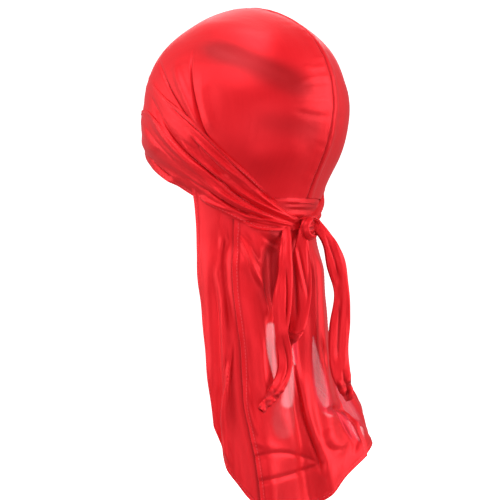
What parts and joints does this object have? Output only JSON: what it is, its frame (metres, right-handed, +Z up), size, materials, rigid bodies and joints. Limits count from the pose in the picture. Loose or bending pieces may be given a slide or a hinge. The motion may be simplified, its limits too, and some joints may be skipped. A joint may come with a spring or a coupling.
{
  "type": "durag",
  "caption": "Satin durag in its worn form: seamed crown, crossed wide straps knotted at the nape, hanging ties and a long flared cape.",
  "frame": {"origin": "the seat of the head: the inside of the top of the crown, on the upright axis of the head", "axes": "+Z up, -Y the wearer's front, +X the wearer's left"},
  "size_m": [0.1742, 0.1996, 0.4441],
  "materials": {
    "crown_satin": "glossy red satin, smooth face outward",
    "strap_satin": "glossy red satin gathered in long pleats",
    "cape_satin": "glossy red satin, slightly see-through where it hangs in one layer"
  },
  "bodies": {
    "root": {"crown_left": "crown_satin", "crown_right": "crown_satin", "strap_outer": "strap_satin", "strap_inner": "strap_satin", "cape_main": "cape_satin", "cape_left": "cape_satin", "cape_right": "cape_satin", "knot": "strap_satin", "tie_left": "strap_satin", "tie_right": "strap_satin"}
  },
  "joints": []
}
